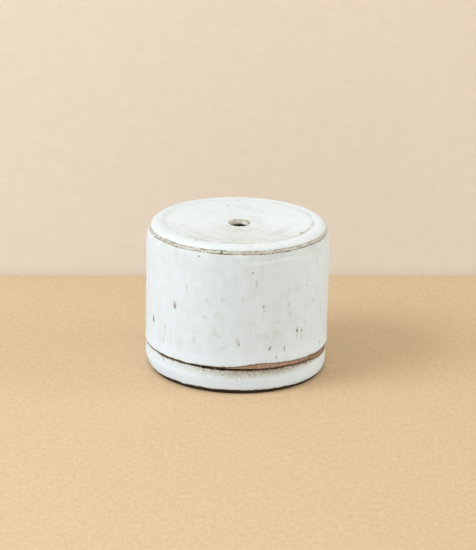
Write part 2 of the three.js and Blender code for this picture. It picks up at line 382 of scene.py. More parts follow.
def coverPiece():
    c = cover
    outline = coverOutline()
    end = outline["way"][-1]
    at = lambda *point: wayTo(outline, *point)
    corner, shoulder = at(c["wall"], seam["rim"]), at(c["wall"], c["shoulderFoot"])
    low, high = at(*c["arrisLow"]), at(*c["arrisHigh"])
    ring, lip = at(c["ringRadius"], c["discEdge"][1]), at(c["hole"] + 1, c["discMiddle"])
    holeEnd = at(c["hole"] + 2.4, c["ceiling"])
    throatEnd = at(c["hole"], c["discMiddle"] - c["throat"])
    bend = at(c["inside"] - c["ceilingCorner"], c["ceiling"])
    wallTop = at(c["inside"], c["ceiling"] - c["ceilingCorner"])
    bareEnd = at(c["inside"], seam["rim"] + c["bareInside"])
    rimIn = at(c["inside"], seam["rim"] + c["insideRounding"])

    # the lines that wander round the cover, and rows that lie closer where there is more to show
    bare = corner + roundTable(c["bareRim"]) + ragged(11, *c["rimWaves"])
    ringWay = ring - roundTable(c["ringOut"], 14) + ragged(14, *c["ringWaves"])
    inner = bareEnd + ragged(15, *c["insideWaves"])
    pullHeight, pullDepth = (roundTable(pairs, 12) for pairs in c["throwing"])
    pulled = shoulder + pullHeight - c["shoulderFoot"]
    lowLine = low + ragged(21, *c["lowWaves"])
    highLine = high + ragged(23, *c["highWaves"])
    meanBare, pulledMean = bare.mean(), pulled.mean()
    rows = spreadRows([
        (0, 0.8), (meanBare - 1.6, 0.35), (meanBare - 0.5, 0.15), (meanBare + 0.7, 0.15), (meanBare + 2, 0.5),
        (corner + 8, 1.9), (shoulder, 1.9), (pulledMean - 1.5, 0.6), (pulledMean + 1.5, 0.6), (low - 1, 0.6),
        (low - 0.4, 0.16), (high + 0.4, 0.16), (high + 1.6, 0.7), (ring - 1.6, 0.7), (ring - 0.5, 0.22),
        (ring + 0.5, 0.22), (ring + 2, 1.2), (lip - 3, 1.8), (lip - 1.2, 0.33), (throatEnd + 0.5, 0.33),
        (holeEnd, 0.8), (holeEnd + 3, 2.2), (bend, 2.2), (wallTop, 2.2), (bareEnd - 2, 1.4), (bareEnd, 0.3),
        (bareEnd + 0.8, 0.3), (bareEnd + 2, 1.4), (rimIn - 1, 1.2), (end, 0.5),
    ])[:-1]
    way = np.repeat(rows[:, None], pointsRound, axis=1)
    way = followEdge(way, bare, meanBare, 3)
    way = followEdge(way, ringWay, ring, 3)
    way = followEdge(way, inner, bareEnd, 4)

    # where each part of the surface is, from 0 to 1
    edge = np.minimum(way - bare, inner - way)
    outside = smooth(way, corner + 3, corner + 8) * smooth(way, high + 2, high - 1)
    resting = np.maximum(smooth(way, corner, corner - 0.8), smooth(way, end - 2, end - 1))
    between = smooth(way, lowLine, lowLine + 0.5) * smooth(way, highLine, highLine - 0.5)
    throat = smooth(way, lip - 0.6, lip) * smooth(way, throatEnd + 0.3, throatEnd - 0.3)
    discRelief = smooth(way, ringWay + 1, ringWay + 4) * smooth(way, lip, lip - 4)
    onDisc = smooth(way, ringWay, ringWay + 2) * (way < lip)
    lowWall = smooth(way, bare + 5, bare + 8) * smooth(way, bare + 22, bare + 14)

    # how far the surface stands out
    lift = glazeLift(edge) * (1 - resting) - 0.02
    lift += outside * uneven(way, 31, *c["wallRelief"])
    lift += smooth(edge, 0.5, 3) * uneven(way, 33, *c["fineRelief"])
    lift += pullDepth * (bump(way, pulled, 0.5) - 0.6 * bump(way, pulled - 1.2, 0.8))
    lift += 0.07 * bump(way, lowLine, 0.22) + 0.06 * bump(way, highLine, 0.22)
    lift += between * (uneven(way, 34, *c["arrisRelief"]) - 0.06)
    lift -= 0.4 * openSeam(17) * bump(way, corner - 0.1, 0.4)
    lift += throat * uneven(way, 37, *c["throatRelief"])
    lift -= c["ringDepth"] * bump(way, ringWay, 0.4) * (0.7 + 0.3 * wander(9, 35))
    lift += discRelief * uneven(way, 36, *c["discRelief"])
    lift += fingerMarks(end - way, end - rimIn, end - holeEnd - 1) * smooth(way, holeEnd, holeEnd + 2)
    radius, height = placeAt(outline, way, lift)

    # what the firing moved
    degrees, sag, drawnIn = np.degrees(angles), c["sag"], c["drawnIn"]
    radius -= 0.06 + c["outOfRound"] * np.cos(2 * angles + 0.6) * smooth(radius, 20, 36)
    radius -= drawnIn["depth"] * bump(degrees, drawnIn["turn"], drawnIn["width"]) * smooth(height, 59.5, 63)
    sunk = bump(degrees, sag["turn"], sag["width"]) * bump(height, 63.4, 2.2) * (way < ring)
    height -= sag["drop"] * sunk
    radius = np.minimum(radius, boxRadius - 0.02)
    height += (1 - smooth(height, seam["rim"], c["shoulderFoot"])) * seamRise(radius)

    # iron where the glaze breaks: over the arris, above the bare rim, on the ring, in patches, in the hole
    front = np.cos(angles)  # 1 at the front, -1 at the back
    patchy = 0.8 + ragged(41, *c["patchWaves"])
    breaks = 1.1 * patchy * roundTable(c["ironLow"]) * bump(way, lowLine, 0.22)
    breaks += (0.85 + 0.4 * wander(2, 43)) * roundTable(c["ironHigh"]) * bump(way, highLine, 0.24)
    breaks += roundTable(c["edgeIron"]) * (0.85 + 0.3 * wander(1.3, 50)) * bump(way, bare + 0.28, 0.26)
    breaks += between * roundTable(c["ironBetween"]) * (1 + 0.3 * unevenness(way, 0.8, 1.6, 44))
    ringWidth = roundTable(c["ringWidth"], 12)
    breaks += roundTable(c["ironRing"]) * bump(way, ringWay, ringWidth) * (0.75 + 0.35 * wander(5, 45))
    breaks += roundTable(c["ringHaze"], 12) * bump(way, ringWay + 0.5, 1.5) * (0.7 + 0.5 * wander(7, 46))
    breaks += 0.13 * smooth(front, 0.1, 0.95) * onDisc
    breaks += 0.16 * np.clip(unevenness(way, 1.8, 45, 47) - 0.1, 0, 1) * onDisc
    breaks += 0.1 * np.clip(unevenness(way, 4.5, 5, 48) - 0.15, 0, 1) * onDisc
    breaks += 0.42 * np.clip(unevenness(way, 3.2, 3.0, 53) - 0.45, 0, 1) * lowWall
    lipEdge = lip - 0.7 - 0.6 * smooth(-front, 0.1, 1) + 0.1 * smooth(front, 0, 1)
    inHole = smooth(way, lipEdge, lipEdge + 0.35) * smooth(way, holeEnd + 1.5, holeEnd)
    beads = 1 + 0.5 * unevenness(way, 0.6, 9, 39)
    breaks += 0.28 * bump(way, lipEdge + 0.2, 0.25)
    breaks += beads * (0.42 + 0.3 * smooth(front, 0.2, 0.9)) * inHole

    # painted shade in the gap under the cover's rim, on clay burnt along the seam; above it, the bare rim
    # burnt darker in places
    toastAndShade = roundTable(seam["toastAndShade"]) * smooth(way, corner + 0.15, corner - 0.25) * (way < rimIn)
    toastAndShade += roundTable(c["toastedRim"]) * smooth(way, corner, corner + 0.3) * (way < shoulder)

    # whiter where the glaze pooled above the rim, with a painted highlight on the roll's right side and a
    # little painted shade on its left, a painted highlight along the last pull, and whiter towards the disc's
    # sides
    poolAndHighlight = smooth(way, bare + 0.8, bare + 2.2) * smooth(way, bare + 7, bare + 3.5)
    thinned = roundTable(c["runOff"]) * (1 + ragged(51, *c["runWaves"]))
    poolAndHighlight -= thinned * smooth(way, low - 9, low) * (way < high + 0.4)
    onRoll = smooth(way, high + 0.6, high + 1.4) * smooth(way, ringWay - 0.2, ringWay - 0.8)
    # painted highlight on the roll's right side, a little painted shade on its left
    poolAndHighlight += 0.8 * onRoll * np.clip(np.sin(angles), -0.3, 1)
    # painted highlight along the ridge of the last pull
    poolAndHighlight += 25 * bump(way, pulled, 0.55) * pullDepth
    # whiter towards the disc's sides, more on the right
    sides = 1.3 * bump(degrees, 95, 45) + 0.7 * bump(degrees, -95, 45)
    poolAndHighlight += sides * onDisc * smooth(way, lip - 4, lip - 12)

    shift = c["holeShift"] * smooth(radius, 16, 6)
    mottled = 0.3 * smooth(way, bare + 1.6, bare + 0.3) * (way < shoulder)
    marks = {"glazeEdge": edge, "breaks": breaks, "poolAndHighlight": poolAndHighlight, "toastAndShade": toastAndShade, "wet": throat,
             "thin": 0 * way, "mottled": mottled}
    piece = loft("cover_stoneware", radius, height, shift, marks, True)
    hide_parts("cover")
    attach(piece, "cover")
    print("cover:", len(rows), "rows")
    return piece


# Dish

dish = {
    "seat": 39.35,  # radius
    "bellySwell": 0.5,
    "shift": -0.25,  # the dish sits a little off centre under the cover
    "foot": 37.8,
    "footRing": 32.0,  # its inner radius
    "recess": 1.3,
    "trimming": {"pitch": 3.1, "depth": 0.08},  # the tool's marks under the foot
    "footShift": 0.3,  # the foot was trimmed off centre the other way
    "footOval": 0.5,  # how much farther it reaches at the front and the back
    "flange": 35.0,
    "flangeTop": 14.6,
    "well": 31.8,
    "floor": 4.5,
    "wellCorner": 5,
    "glazeFoot": (38.65, 1.6),  # the glaze's lower edge, on average
    "bareFoot": (  # how far the glaze ends above that, by degrees round the box
        (-180, -0.3), (-100, -0.55), (-65, -0.5), (-50, -0.25), (-46, 0.0), (-43.5, 0.3), (-39, 0.25),
        (-37, -0.1), (-35, -0.4), (-33, -0.05), (-20, 0.0), (25, 0.0), (42, -0.3), (62, -0.5),
        (100, -0.5), (180, -0.3),
    ),
    "bareTop": (  # height of the bare clay below the seat, by degrees round the box
        (-180, 0.4), (-120, 0.1), (-60, -0.3), (-40, -0.2), (-30, -0.05), (-9, 0.0), (2, 0.0),
        (13, -0.05), (22, -0.1), (30, -0.1), (42, 0.1), (56, 0.4), (68, 1.0), (80, 1.4), (95, 1.2),
        (120, 0.5), (180, 0.4),
    ),
    "thinTop": (  # how far down the glaze is thin below the seat
        (-180, 0.5), (-60, 0.1), (-36, 0.25), (2, 0.45), (13, 0.65), (26, 1.0), (42, 1.45), (58, 1.8),
        (75, 1.6), (100, 0.8), (180, 0.5),
    ),
    "mottled": (  # how strongly the glaze is mottled below that, where it drew away from the edge
        (-180, 0.3), (-75, 0.05), (-50, 0.16), (-38, 0.4), (-24, 0.6), (-12, 0.85), (0, 1.1),
        (20, 1.15), (32, 1), (45, 0.7), (58, 0.35), (80, 0.2), (180, 0.3),
    ),
    "mottledDepth": 5.6,
    # waves of (width, depth) in the edges
    "footWaves": ((6, 0.16), (1.7, 0.14), (0.8, 0.06)),
    "topWaves": ((4, 0.14), (1.3, 0.16)),
    "flangeWaves": ((16, 0.4), (2, 0.15)),
    # waves of (length, width, depth) in the surface
    "sideRelief": ((3, 70, 0.05), (5, 14, 0.04)),
    "fineRelief": ((4, 2.5, 0.03),),
}


def dishOutline():
    d = dish
    seat, foot, flange, top, well, floor = (
        d[name] for name in ("seat", "foot", "flange", "flangeTop", "well", "floor"))
    ring, recess, corner, cut = d["footRing"], d["recess"], d["wellCorner"], seam["seat"]
    return readOutline(
        line((0.8, recess), (ring - 1.5, recess)),
        curve((ring - 1.5, recess), (ring - 0.5, recess), (ring, 0), (ring + 0.9, 0)),
        line((ring + 0.9, 0), (foot - 0.5, 0)),
        curve((foot - 0.5, 0), (foot, 0), (foot + 0.15, 0.25), count=10),
        through((foot + 0.15, 0.25), d["glazeFoot"], (foot + 1.35, 2.6), (seat + 0.1, 3.8),
                (seat + d["bellySwell"], 6.6), (seat, cut - 0.7), count=20),
        curve((seat, cut - 0.7), (seat - 0.03, cut), (seat - 0.7, cut), count=12),
        curve((flange + 0.45, cut), (flange, cut), (flange, cut + 0.45), count=8),
        curve((flange, top - 1.4), (flange, top), (flange - 1.6, top), count=16),
        curve((flange - 1.6, top), (well, top), (well, top - 1.6), count=16),
        curve((well, floor + corner), (well, floor), (well - corner, floor), count=40),
        line((well - corner, floor), (0.8, floor)),
    )


def dishPiece():
    d = dish
    outline = dishOutline()
    end = outline["way"][-1]
    at = lambda *point: wayTo(outline, *point)
    ringIn, footEdge, glazeFoot = at(d["footRing"], 0), at(d["foot"], 0), at(*d["glazeFoot"])
    seatEdge, seatIn = at(d["seat"], seam["seat"]), at(d["flange"], seam["seat"])
    flangeOut, flangeIn = at(d["flange"], d["flangeTop"]), at(d["well"], d["flangeTop"])
    wellBend = at(d["well"] - d["wellCorner"], d["floor"])

    # the edges of the glaze, and rows that lie closer along them
    foot = glazeFoot + roundTable(d["bareFoot"], 2) + ragged(51, *d["footWaves"])
    bareTop = seatEdge - roundTable(d["bareTop"]) + ragged(54, *d["topWaves"])
    meanTop, meanInner = bareTop.mean(), (flangeOut + flangeIn) / 2
    inner = meanInner + ragged(56, *d["flangeWaves"])
    rows = spreadRows([
        (0, 2.2), (ringIn - 3, 1.6), (ringIn, 0.5), (footEdge - 1, 0.6), (glazeFoot - 0.5, 0.14),
        (glazeFoot + 0.7, 0.14), (glazeFoot + 2, 0.5), (meanTop - 3, 0.6), (meanTop - 1, 0.16),
        (meanTop + 0.6, 0.14), (seatEdge + 0.6, 0.3), (seatEdge + 1.5, 0.6), (seatIn, 0.35),
        (flangeOut - 1, 0.6), (meanInner - 0.8, 0.25), (meanInner + 0.8, 0.25), (flangeIn + 1, 0.6),
        (wellBend, 1.1), (end, 1.4),
    ])
    way = np.repeat(rows[:, None], pointsRound, axis=1)
    way = followEdge(way, foot, glazeFoot, 1.6)
    way = followEdge(way, bareTop, meanTop, 2.5)
    way = followEdge(way, inner, meanInner, 2)

    # where each part of the surface is, from 0 to 1
    outer = np.minimum(way - foot, bareTop - way)
    edge = np.where(way < (seatEdge + flangeOut) / 2, outer, way - inner)
    side = smooth(way, glazeFoot + 1, glazeFoot + 3) * smooth(way, meanTop, meanTop - 3)
    resting = smooth(way, seatEdge - 0.1, seatEdge + 0.5) * smooth(way, seatIn + 1.2, seatIn + 0.4)
    standing = smooth(way, ringIn, ringIn + 0.6) * smooth(way, footEdge + 0.5, footEdge - 0.1)
    under = smooth(way, ringIn, ringIn - 2)
    inWell = smooth(way, flangeIn + 4, flangeIn + 8)

    # how far the surface stands out
    lift = glazeLift(edge) * (1 - resting) * (1 - standing) - 0.02 * resting
    lift -= openSeam(19) * bump(way, seatEdge - 0.1, 0.55)
    crumbs = np.clip(unevenness(way, 0.7, 1.1, 64), 0, 1) * smooth(edge, 1.4, 0.2) * (way < seatEdge + 0.5)
    lift += 0.2 * crumbs * (way > meanTop - 2)
    lift += side * uneven(way, 61, *d["sideRelief"])
    lift += smooth(edge, 0.5, 2.5) * uneven(way, 63, *d["fineRelief"])
    trimming = d["trimming"]
    lift += under * trimming["depth"] * np.sin(way * 2 * math.pi / trimming["pitch"] - angles)
    lift += fingerMarks(end - way, 0, end - wellBend)
    radius, height = placeAt(outline, way, lift)

    # off centre, wider in the foot to the front and back, and cut at a slant
    height = np.maximum(height, 0.0)
    radius -= 0.04 * smooth(radius, 5, 30)
    height += smooth(height, d["floor"], seam["seat"] - 0.9) * seamRise(radius)
    onFoot = (1 - smooth(height, 1.5, 5)) * (way < seatEdge) * (way > ringIn)
    radius += d["footOval"] * np.cos(angles) ** 2 * onFoot
    shift = d["shift"] * smooth(height, 1.5, 7) * (way < seatEdge + 0.4)
    shift += d["footShift"] * (1 - smooth(height, 1.5, 7)) * (way < seatEdge)

    breaks = 0.3 * smooth(way, inner - 0.5, inner + 0.5) * smooth(way, flangeIn + 1.2, flangeIn)
    poolAndHighlight = smooth(way, glazeFoot + 1, glazeFoot + 2.5) * smooth(way, meanTop - 2.5, meanTop - 4) + inWell
    # painted shade in the gap at the seat, on clay burnt along the seam; painted contact shade on the bare
    # foot, darkest at its edge; the clay under the foot ring a little darker
    toastAndShade = roundTable(seam["toastAndShade"]) * smooth(way, seatEdge - 0.3, seatEdge) * (way < seatIn)
    toastAndShade += 1.3 * smooth(way, footEdge - 1.2, footEdge) * smooth(way, glazeFoot + 1.5, glazeFoot)
    toastAndShade += 0.35 * smooth(way, ringIn, ringIn + 0.5) * smooth(way, footEdge - 0.2, footEdge - 1.2)
    thinWay = seatEdge - roundTable(d["thinTop"])
    thin = smooth(way, thinWay - 0.35, thinWay + 0.15) * (way < seatEdge + 1)
    fade = np.clip((way - seatEdge + d["mottledDepth"]) / 5, 0, 1) ** 1.2
    mottled = roundTable(d["mottled"]) * fade * (way < seatEdge + 1)
    marks = {"glazeEdge": edge, "breaks": breaks, "poolAndHighlight": poolAndHighlight, "toastAndShade": toastAndShade, "wet": 0.5 * inWell,
             "thin": thin, "mottled": mottled}
    piece = loft("dish_stoneware", radius, height, shift, marks, False)
    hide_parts("dish")
    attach(piece, "dish")
    print("dish:", len(rows), "rows")
    return piece


coverStoneware = coverPiece()
dishStoneware = dishPiece()


# Shader helpers

def addNode(tree, kind, inputs=None, **settings):
    node = tree.nodes.new("ShaderNode" + kind)
    for name, value in settings.items():
        setattr(node, name, value)
    for key, value in (inputs or {}).items():
        if isinstance(value, bpy.types.NodeSocket):
            tree.links.new(value, node.inputs[key])
        else:
            node.inputs[key].default_value = value
    return node


def maths(tree, operation, first, second):
    return addNode(tree, "Math", {0: first, 1: second}, operation=operation).outputs[0]


def times(tree, first, second):
    return maths(tree, "MULTIPLY", first, second)


def larger(tree, first, second):
    return maths(tree, "MAXIMUM", first, second)


def vectors(tree, operation, first, second=(0, 0, 0)):
    node = addNode(tree, "VectorMath", {0: first, 1: second}, operation=operation)
    return node.outputs["Value" if operation in ("LENGTH", "DOT_PRODUCT") else "Vector"]


def spread(tree, value, low, high, toLow=0.0, toHigh=1.0):
    inputs = {"Value": value, "From Min": low, "From Max": high, "To Min": toLow, "To Max": toHigh}
    return addNode(tree, "MapRange", inputs, interpolation_type="SMOOTHSTEP").outputs["Result"]


def noise(tree, place, scale, detail=2.0, roughness=0.5):
    inputs = {"Vector": place, "Scale": scale, "Detail": detail, "Roughness": roughness}
    return addNode(tree, "TexNoise", inputs).outputs["Fac"]


def stretch(tree, place, *factors):
    return vectors(tree, "MULTIPLY", place, factors)


def colour(red, green, blue):
    parts = [value / 255 for value in (red, green, blue)]
    return (*[v / 12.92 if v <= 0.04045 else ((v + 0.055) / 1.055) ** 2.4 for v in parts], 1)


def blend(tree, share, first, second, mode="MIX"):
    inputs = {0: share, 6: first, 7: second}
    return addNode(tree, "Mix", inputs, data_type="RGBA", blend_type=mode).outputs[2]


def blendValue(tree, share, first, second):
    return addNode(tree, "Mix", {0: share, 2: first, 3: second}, data_type="FLOAT").outputs[0]


def tones(tree, value, *stops):
    ramp = addNode(tree, "ValToRGB", {"Fac": value})
    elements = ramp.color_ramp.elements
    while len(elements) < len(stops):
        elements.new(0.5)
    for element, (position, tone) in zip(elements, stops):
        element.position = position
        element.color = colour(*tone)
    return ramp.outputs["Color"]


def newGroup(name, inputs, outputs):
    tree = bpy.data.node_groups.new(name, "ShaderNodeTree")
    for socket, (kind, value) in inputs.items():
        made = tree.interface.new_socket(socket, in_out="INPUT", socket_type="NodeSocket" + kind)
        made.default_value = value
    for socket, kind in outputs.items():
        tree.interface.new_socket(socket, in_out="OUTPUT", socket_type="NodeSocket" + kind)
    return tree, tree.nodes.new("NodeGroupInput").outputs, tree.nodes.new("NodeGroupOutput").inputs


def useGroup(tree, group, **inputs):
    return addNode(tree, "Group", inputs, node_tree=group).outputs


# A new material, its nodes, its shader, and the place in millimetres
def newMaterial(name):
    material = bpy.data.materials.new(name)
    material.use_nodes = True
    tree = material.node_tree
    inputs = {0: addNode(tree, "TexCoord").outputs["Object"], "Scale": 1 / mm}
    place = addNode(tree, "VectorMath", inputs, operation="SCALE").outputs["Vector"]
    return material, tree, tree.nodes["Principled BSDF"], place


# Finishes that cover and dish share: colours, some of them along a value from 0 to 1, and roughness
finish = {
    "clay": ((0.3, (148, 106, 80)), (0.5, (184, 142, 112)), (0.72, (206, 167, 138))),
    # clay burnt dark, taken near black as painted shade in the seam's gap and at the foot
    "toastedClayAndShade": ((0.35, (27, 17, 9)), (0.64, (70, 44, 27))),
    "grog": (108, 68, 50),
    "flecks": (232, 204, 188),
    "white": (  # from thin to pooled; the whitest end also serves the painted highlights
        (0.28, (210, 215, 209)), (0.43, (223, 227, 223)), (0.55, (231, 235, 234)), (0.72, (236, 240, 241)),
    ),
    "thinGlaze": (214, 192, 171),
    "iron": (  # from the first trace to the darkest
        (0.0, (218, 222, 210)), (0.25, (204, 202, 188)), (0.5, (172, 162, 141)), (0.75, (122, 102, 79)),
        (1.0, (50, 34, 24)),
    ),
    "rust": (158, 124, 80),
    "roughness": {"clay": 0.86, "white": 0.46, "iron": 0.5, "wet": 0.1, "coat": 0.12},
}
spatter = {  # spacing, how far drawn out, size as a share of the spacing, share of the places, darkness
    "fine": {"Cell": 5.5, "Run": 2.2, "Size": 0.13, "Share": 0.3, "Iron": 0.42},
    "few": {"Cell": 16.0, "Run": 1.6, "Size": 0.06, "Share": 0.35, "Iron": 0.95},
    "behind": {"Cell": 7.5, "Run": 1.9, "Size": 0.13, "Share": 0.3, "Iron": 0.8},
}


# One iron spot: place, width and height in millimetres, strongest in the middle
def ironSpotGroup():
    tree, given, result = newGroup(
        "ironSpot",
        {"Place": ("Vector", (0, 0, 0)), "Centre": ("Vector", (0, 0, 0)), "Size": ("Vector", (1, 1, 1)),
         "Iron": ("Float", 1), "Before": ("Float", 0)},
        {"Iron": "Float"},
    )
    away = vectors(tree, "SUBTRACT", given["Place"], given["Centre"])
    distance = vectors(tree, "LENGTH", vectors(tree, "DIVIDE", away, given["Size"]))
    spot = times(tree, spread(tree, distance, 0.2, 1.35, 1, 0), given["Iron"])
    tree.links.new(larger(tree, spot, given["Before"]), result["Iron"])
    return tree


# Spots that fell anywhere, drawn out downwards where the glaze ran
def peppering():
    tree, given, result = newGroup(
        "peppering",
        {"Place": ("Vector", (0, 0, 0)), "Cell": ("Float", 6), "Run": ("Float", 1.8), "Size": ("Float", 0.1),
         "Share": ("Float", 0.4), "Iron": ("Float", 0.5)},
        {"Iron": "Float"},
    )
    shorter = maths(tree, "DIVIDE", 1.0, given["Run"])
    run = addNode(tree, "CombineXYZ", {0: 1.0, 1: 1.0, 2: shorter}).outputs[0]
    place = vectors(tree, "MULTIPLY", given["Place"], run)
    scale = maths(tree, "DIVIDE", 1.0, given["Cell"])
    cells = addNode(tree, "TexVoronoi", {"Vector": place, "Scale": scale, "Randomness": 1.0})
    chance = addNode(tree, "SeparateColor", {"Color": cells.outputs["Color"]}).outputs
    size = times(tree, given["Size"], spread(tree, chance["Green"], 0, 1, 0.45, 1.3))
    near = addNode(tree, "MapRange", {
        "Value": cells.outputs["Distance"], "From Min": 0.0, "From Max": size, "To Min": 1.0, "To Max": 0.0,
    }, interpolation_type="SMOOTHSTEP").outputs["Result"]
    there = maths(tree, "LESS_THAN", chance["Red"], given["Share"])
    iron = times(tree, given["Iron"], spread(tree, chance["Blue"], 0, 1, 0.35, 1.0))
    tree.links.new(times(tree, times(tree, near, there), iron), result["Iron"])
    return tree


# Red stoneware where no glaze covers it
def bareClay():
    tree, given, result = newGroup(
        "bareClay",
        {"Place": ("Vector", (0, 0, 0)), "Toast": ("Float", 0)},
        {"Color": "Color", "Height": "Float"},
    )
    cloud = noise(tree, given["Place"], 0.35, 3)
    grain = noise(tree, given["Place"], 2.6, 4, 0.65)
    grog = addNode(tree, "TexVoronoi", {"Vector": given["Place"], "Scale": 1.1}).outputs["Distance"]
    body = tones(tree, maths(tree, "ADD", times(tree, grain, 0.6), times(tree, cloud, 0.4)), *finish["clay"])
    speck = spread(tree, grog, 0.1, 0.3, 1, 0)
    body = blend(tree, times(tree, speck, 0.6), body, colour(*finish["grog"]))
    # burnt clay, with painted shade in the seam's gap and painted contact shade at the foot
    body = blend(tree, given["Toast"], body, tones(tree, grain, *finish["toastedClayAndShade"]))
    # pale flecks, but none in the foot's band of burnt clay and painted contact shade
    flecks = spread(tree, noise(tree, given["Place"], 1.7, 1), 0.62, 0.7, 0, 0.75)
    flecks = times(tree, flecks, spread(tree, given["Toast"], 1.05, 1.2, 1, 0))
    body = blend(tree, flecks, body, colour(*finish["flecks"]))
    tree.links.new(body, result["Color"])
    height = maths(tree, "SUBTRACT", times(tree, grain, 0.09), times(tree, speck, 0.05))
    tree.links.new(height, result["Height"])
    return tree


# The white glaze: thin where it breaks over an edge or ends, with iron coming through
def whiteGlaze():
    tree, given, result = newGroup(
        "whiteGlaze",
        {"Place": ("Vector", (0, 0, 0)), "Edge": ("Float", 5), "Breaks": ("Float", 0), "Pool": ("Float", 0),
         "Thin": ("Float", 0), "Mottled": ("Float", 0), "Spots": ("Float", 0), "Streaks": ("Float", 1)},
        {"Color": "Color", "Iron": "Float", "Height": "Float"},
    )
    place = given["Place"]
    fine = noise(tree, place, 1.5, 3, 0.6)
    speckle = noise(tree, place, 0.9, 2, 0.5)
    beads = addNode(tree, "TexVoronoi", {"Vector": place, "Scale": 0.85}).outputs["Distance"]

    # iron through thin glaze: over edges, in the last line of glaze, and in a speckled band beside it
    broken = times(tree, given["Breaks"], spread(tree, fine, 0.3, 0.68, 0.5, 1.35))
    pale = spread(tree, beads, 0.12, 0.4, 0.45, 1)
    broken = times(tree, broken, pale)
    rim = times(tree, spread(tree, given["Edge"], 0.2, 0.85, 1, 0), spread(tree, fine, 0.3, 0.6, 0.6, 1))
    dashes = noise(tree, stretch(tree, place, 1.0, 1.0, 1.6), 1.1, 2, 0.6)
    dashes = times(tree, spread(tree, dashes, 0.5, 0.64, 0, 0.85), given["Thin"])
    haze = spread(tree, speckle, 0.3, 0.7, 0.3, 0.56)
    dots = spread(tree, noise(tree, stretch(tree, place, 1, 1, 0.7), 2.6, 1), 0.63, 0.74, 0, 0.45)
    band = times(tree, maths(tree, "ADD", haze, dots), given["Mottled"])
    thin = larger(tree, larger(tree, broken, rim), larger(tree, band, dashes))
    iron = maths(tree, "MINIMUM", larger(tree, thin, given["Spots"]), 1.0)

    # the white itself, whiter where it pooled and under painted highlights, greener where it ran thin in
    # streaks
    soft = noise(tree, stretch(tree, place, 0.3, 0.3, 0.07), 1.0, 3)
    runs = noise(tree, stretch(tree, place, 1.6, 1.6, 0.16), 1.0, 4, 0.6)
    clouds = noise(tree, place, 0.24, 3, 0.6)
    streaked = maths(tree, "ADD", times(tree, runs, 0.5), times(tree, soft, 0.5))
    tone = maths(tree, "ADD", times(tree, streaked, 0.6), times(tree, clouds, 0.4))
    tone = maths(tree, "ADD", 0.5, times(tree, maths(tree, "SUBTRACT", tone, 0.5), given["Streaks"]))
    tone = maths(tree, "ADD", tone, times(tree, given["Pool"], 0.12))
    white = tones(tree, tone, *finish["white"])
    white = blend(tree, times(tree, given["Thin"], 0.85), white, colour(*finish["thinGlaze"]))
    stained = tones(tree, iron, *finish["iron"])
    rust = times(tree, spread(tree, iron, 0.3, 0.6, 0, 0.6),
                 spread(tree, noise(tree, place, 1.0, 3, 0.6), 0.5, 0.64))
    stained = blend(tree, rust, stained, colour(*finish["rust"]))
    tree.links.new(blend(tree, spread(tree, iron, 0.02, 0.3), white, stained), result["Color"])
    tree.links.new(iron, result["Iron"])
    ripple = noise(tree, place, 0.28, 2)
    peel = noise(tree, place, 1.2, 2)
    height = maths(tree, "ADD", times(tree, ripple, 0.05), times(tree, peel, 0.008))
    height = maths(tree, "ADD", height, times(tree, runs, 0.01))
    tree.links.new(maths(tree, "SUBTRACT", height, times(tree, iron, 0.04)), result["Height"])
    return tree


ironSpot, pepper, clay, glaze = ironSpotGroup(), peppering(), bareClay(), whiteGlaze()


# Spots on the cover's wall: degrees round the box and height, width and height of the full spread in
# millimetres, and how dark
wallSpots = [
    (-41.6, 36.6, 1.0, 2.0, 0.56), (-41.2, 36.2, 0.42, 0.9, 0.95), (-64.1, 25.9, 0.7, 1.8, 1.0),
    (41.0, 26.6, 0.6, 1.4, 0.75), (44.5, 26.0, 0.8, 1.3, 0.42), (9.2, 55.1, 0.45, 0.5, 0.66),
    (-32.5, 46.6, 0.45, 0.8, 0.42), (16.8, 39.9, 0.4, 0.8, 0.62), (34.2, 46.4, 0.4, 0.6, 0.5),
    (33.8, 39.5, 0.4, 0.5, 0.6), (-50.6, 25.3, 0.4, 0.5, 0.6), (21.4, 20.6, 0.8, 1.3, 0.5),
    (31.4, 19.6, 0.5, 1.6, 0.5), (25.9, 16.1, 0.7, 0.9, 0.4), (65.1, 16.7, 0.6, 1.3, 0.45),
    (47.9, 46.4, 0.7, 1.1, 0.3), (-51.7, 18.8, 0.6, 1.8, 0.3),
    # soft ones, where the iron stayed under the glaze
    (25.5, 27.0, 3.0, 3.2, 0.16), (19.5, 26.2, 2.0, 2.6, 0.14), (0.9, 24.5, 1.4, 2.2, 0.24),
    (-10.8, 26.3, 1.2, 1.8, 0.16), (-27.0, 22.5, 1.5, 1.8, 0.18), (-36.4, 20.6, 1.4, 1.6, 0.16),
    (-12.2, 36.1, 1.2, 1.8, 0.16), (-19.8, 34.2, 1.2, 1.6, 0.16), (10.5, 32.1, 1.2, 1.8, 0.14),
    (26.6, 31.9, 1.2, 1.8, 0.16), (35.1, 34.6, 1.2, 1.8, 0.16), (47.9, 29.0, 1.2, 1.8, 0.16),
    (-18.7, 41.9, 1.2, 1.8, 0.18), (-8.7, 43.1, 1.2, 1.8, 0.18), (-2.1, 45.6, 1.0, 1.8, 0.14),
    (3.4, 43.0, 1.0, 1.8, 0.14), (12.1, 50.0, 0.7, 2.6, 0.24), (56.1, 37.5, 0.7, 2.6, 0.24),
    (65.1, 32.5, 0.7, 2.6, 0.24), (41.2, 24.2, 0.8, 2.6, 0.24), (44.6, 23.6, 0.8, 2.6, 0.24),
    (-50.5, 23.0, 0.7, 2.4, 0.24), (-32.4, 44.8, 0.5, 2.2, 0.24), (16.9, 38.1, 0.5, 2.0, 0.24),
]

